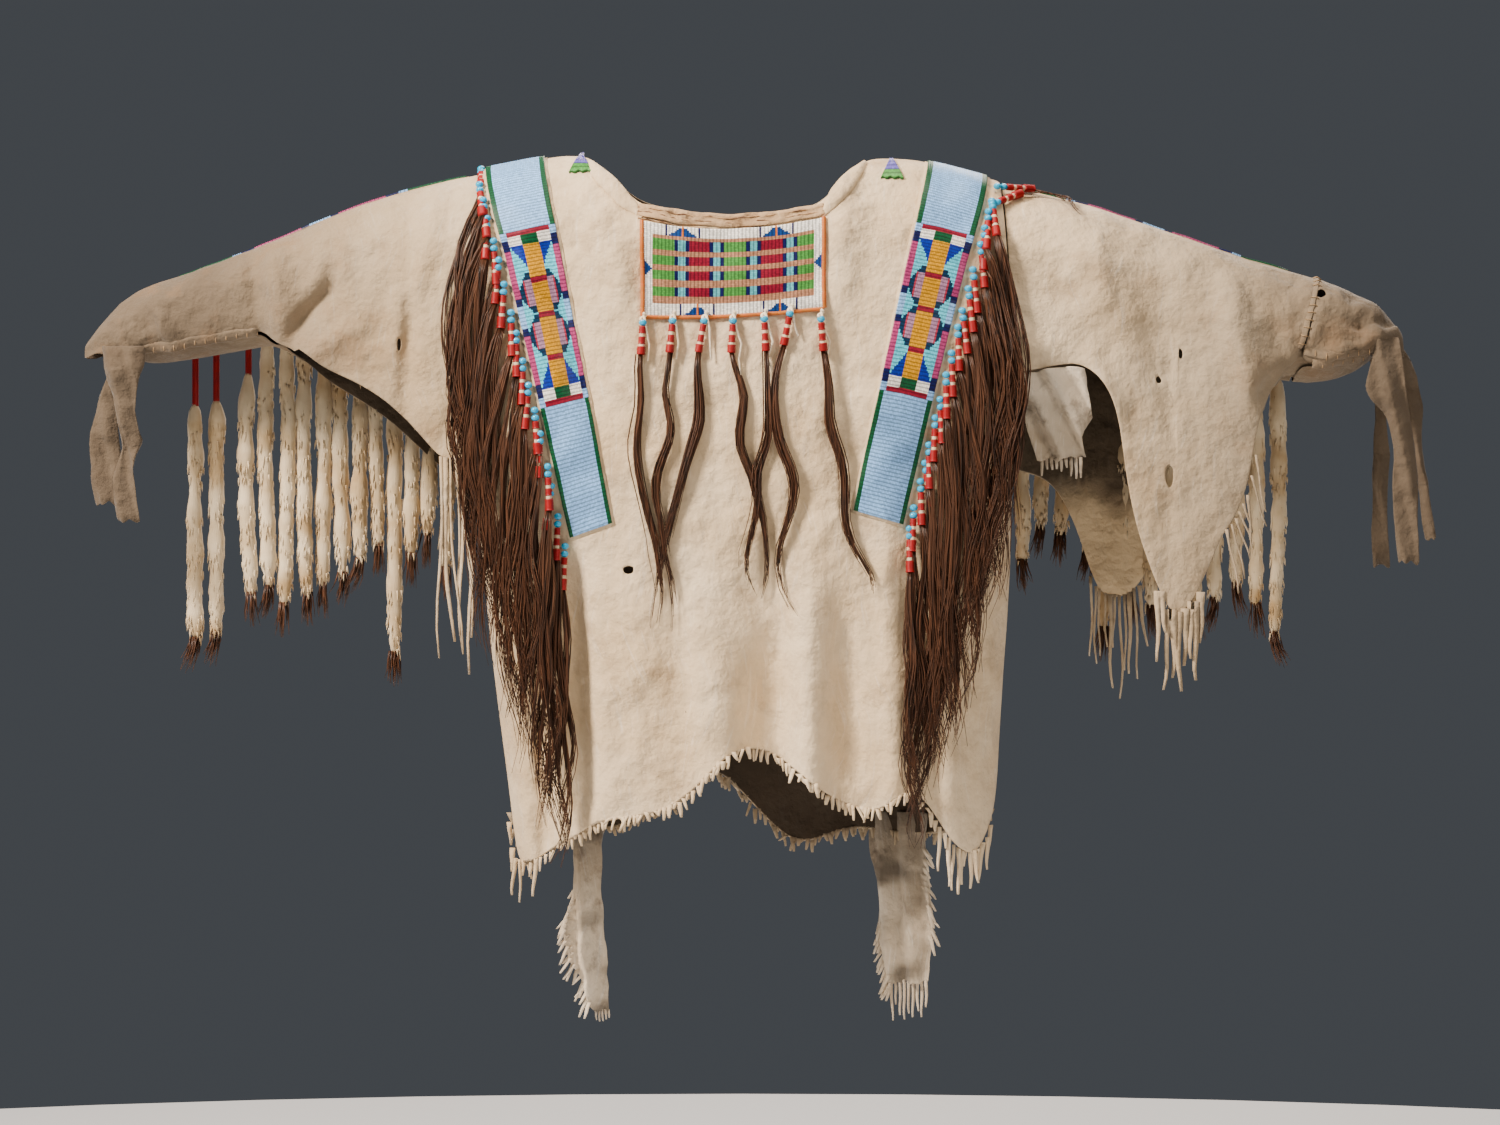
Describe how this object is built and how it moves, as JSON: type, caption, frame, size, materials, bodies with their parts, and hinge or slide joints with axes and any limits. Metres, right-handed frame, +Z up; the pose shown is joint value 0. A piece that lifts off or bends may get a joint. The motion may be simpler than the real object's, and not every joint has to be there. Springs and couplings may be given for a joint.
{
  "type": "plains war shirt",
  "caption": "Open-sided hide war shirt held out as worn, with beaded shoulder and sleeve bands, a beaded neck bib, rows of wrapped hair locks, ermine tubes, fringed hems and hanging cuff ties",
  "frame": {"origin": "the middle of the neck slit, level with the shoulders, where the wearer's shoulders hold the shirt up", "axes": "+Z up, the front of the shirt faces -Y, +X runs across it towards the wearer's left sleeve"},
  "size_m": [1.559, 0.2427, 1.011],
  "materials": {
    "hide": "soft napped hide, brain tanned, unevenly stained",
    "beadwork": "rows of small opaque glass beads sewn down on hide",
    "hair": "long dark brown hair in locks, each with a wrapped red stem and blue beads",
    "ermine": "short cream fur with dark tail tips"
  },
  "bodies": {
    "root": {"armpit_flap_left": "hide", "armpit_fringe_left": "hide", "back_leg_left": "hide", "back_leg_right": "hide", "bib_pendants": "hair", "body_back": "hide", "body_front": "hide", "cuff_tie_back_right": "hide", "cuff_tie_front_right": "hide", "cuff_tie_inner_left": "hide", "cuff_tie_middle_left": "hide", "cuff_tie_outer_left": "hide", "ermine_row_left": "ermine", "ermine_row_right": "ermine", "flank_fringe_right": "hide", "forearm_left": "hide", "hair_row_back_left": "hair", "hair_row_back_right": "hair", "hair_row_front_left": "hair", "hair_row_front_right": "hair", "hem_fringe_back": "hide", "hem_fringe_front": "hide", "leg_fringe_left": "hide", "leg_fringe_right": "hide", "neck_bib": "beadwork", "shoulder_band_left": "beadwork", "shoulder_band_right": "beadwork", "sleeve_band_left": "beadwork", "sleeve_band_right": "beadwork", "sleeve_fringe_back_left": "hide", "sleeve_fringe_front_left": "hide", "sleeve_fringe_wrist_left": "hide", "sleeve_left": "hide", "sleeve_right": "hide"}
  },
  "joints": []
}
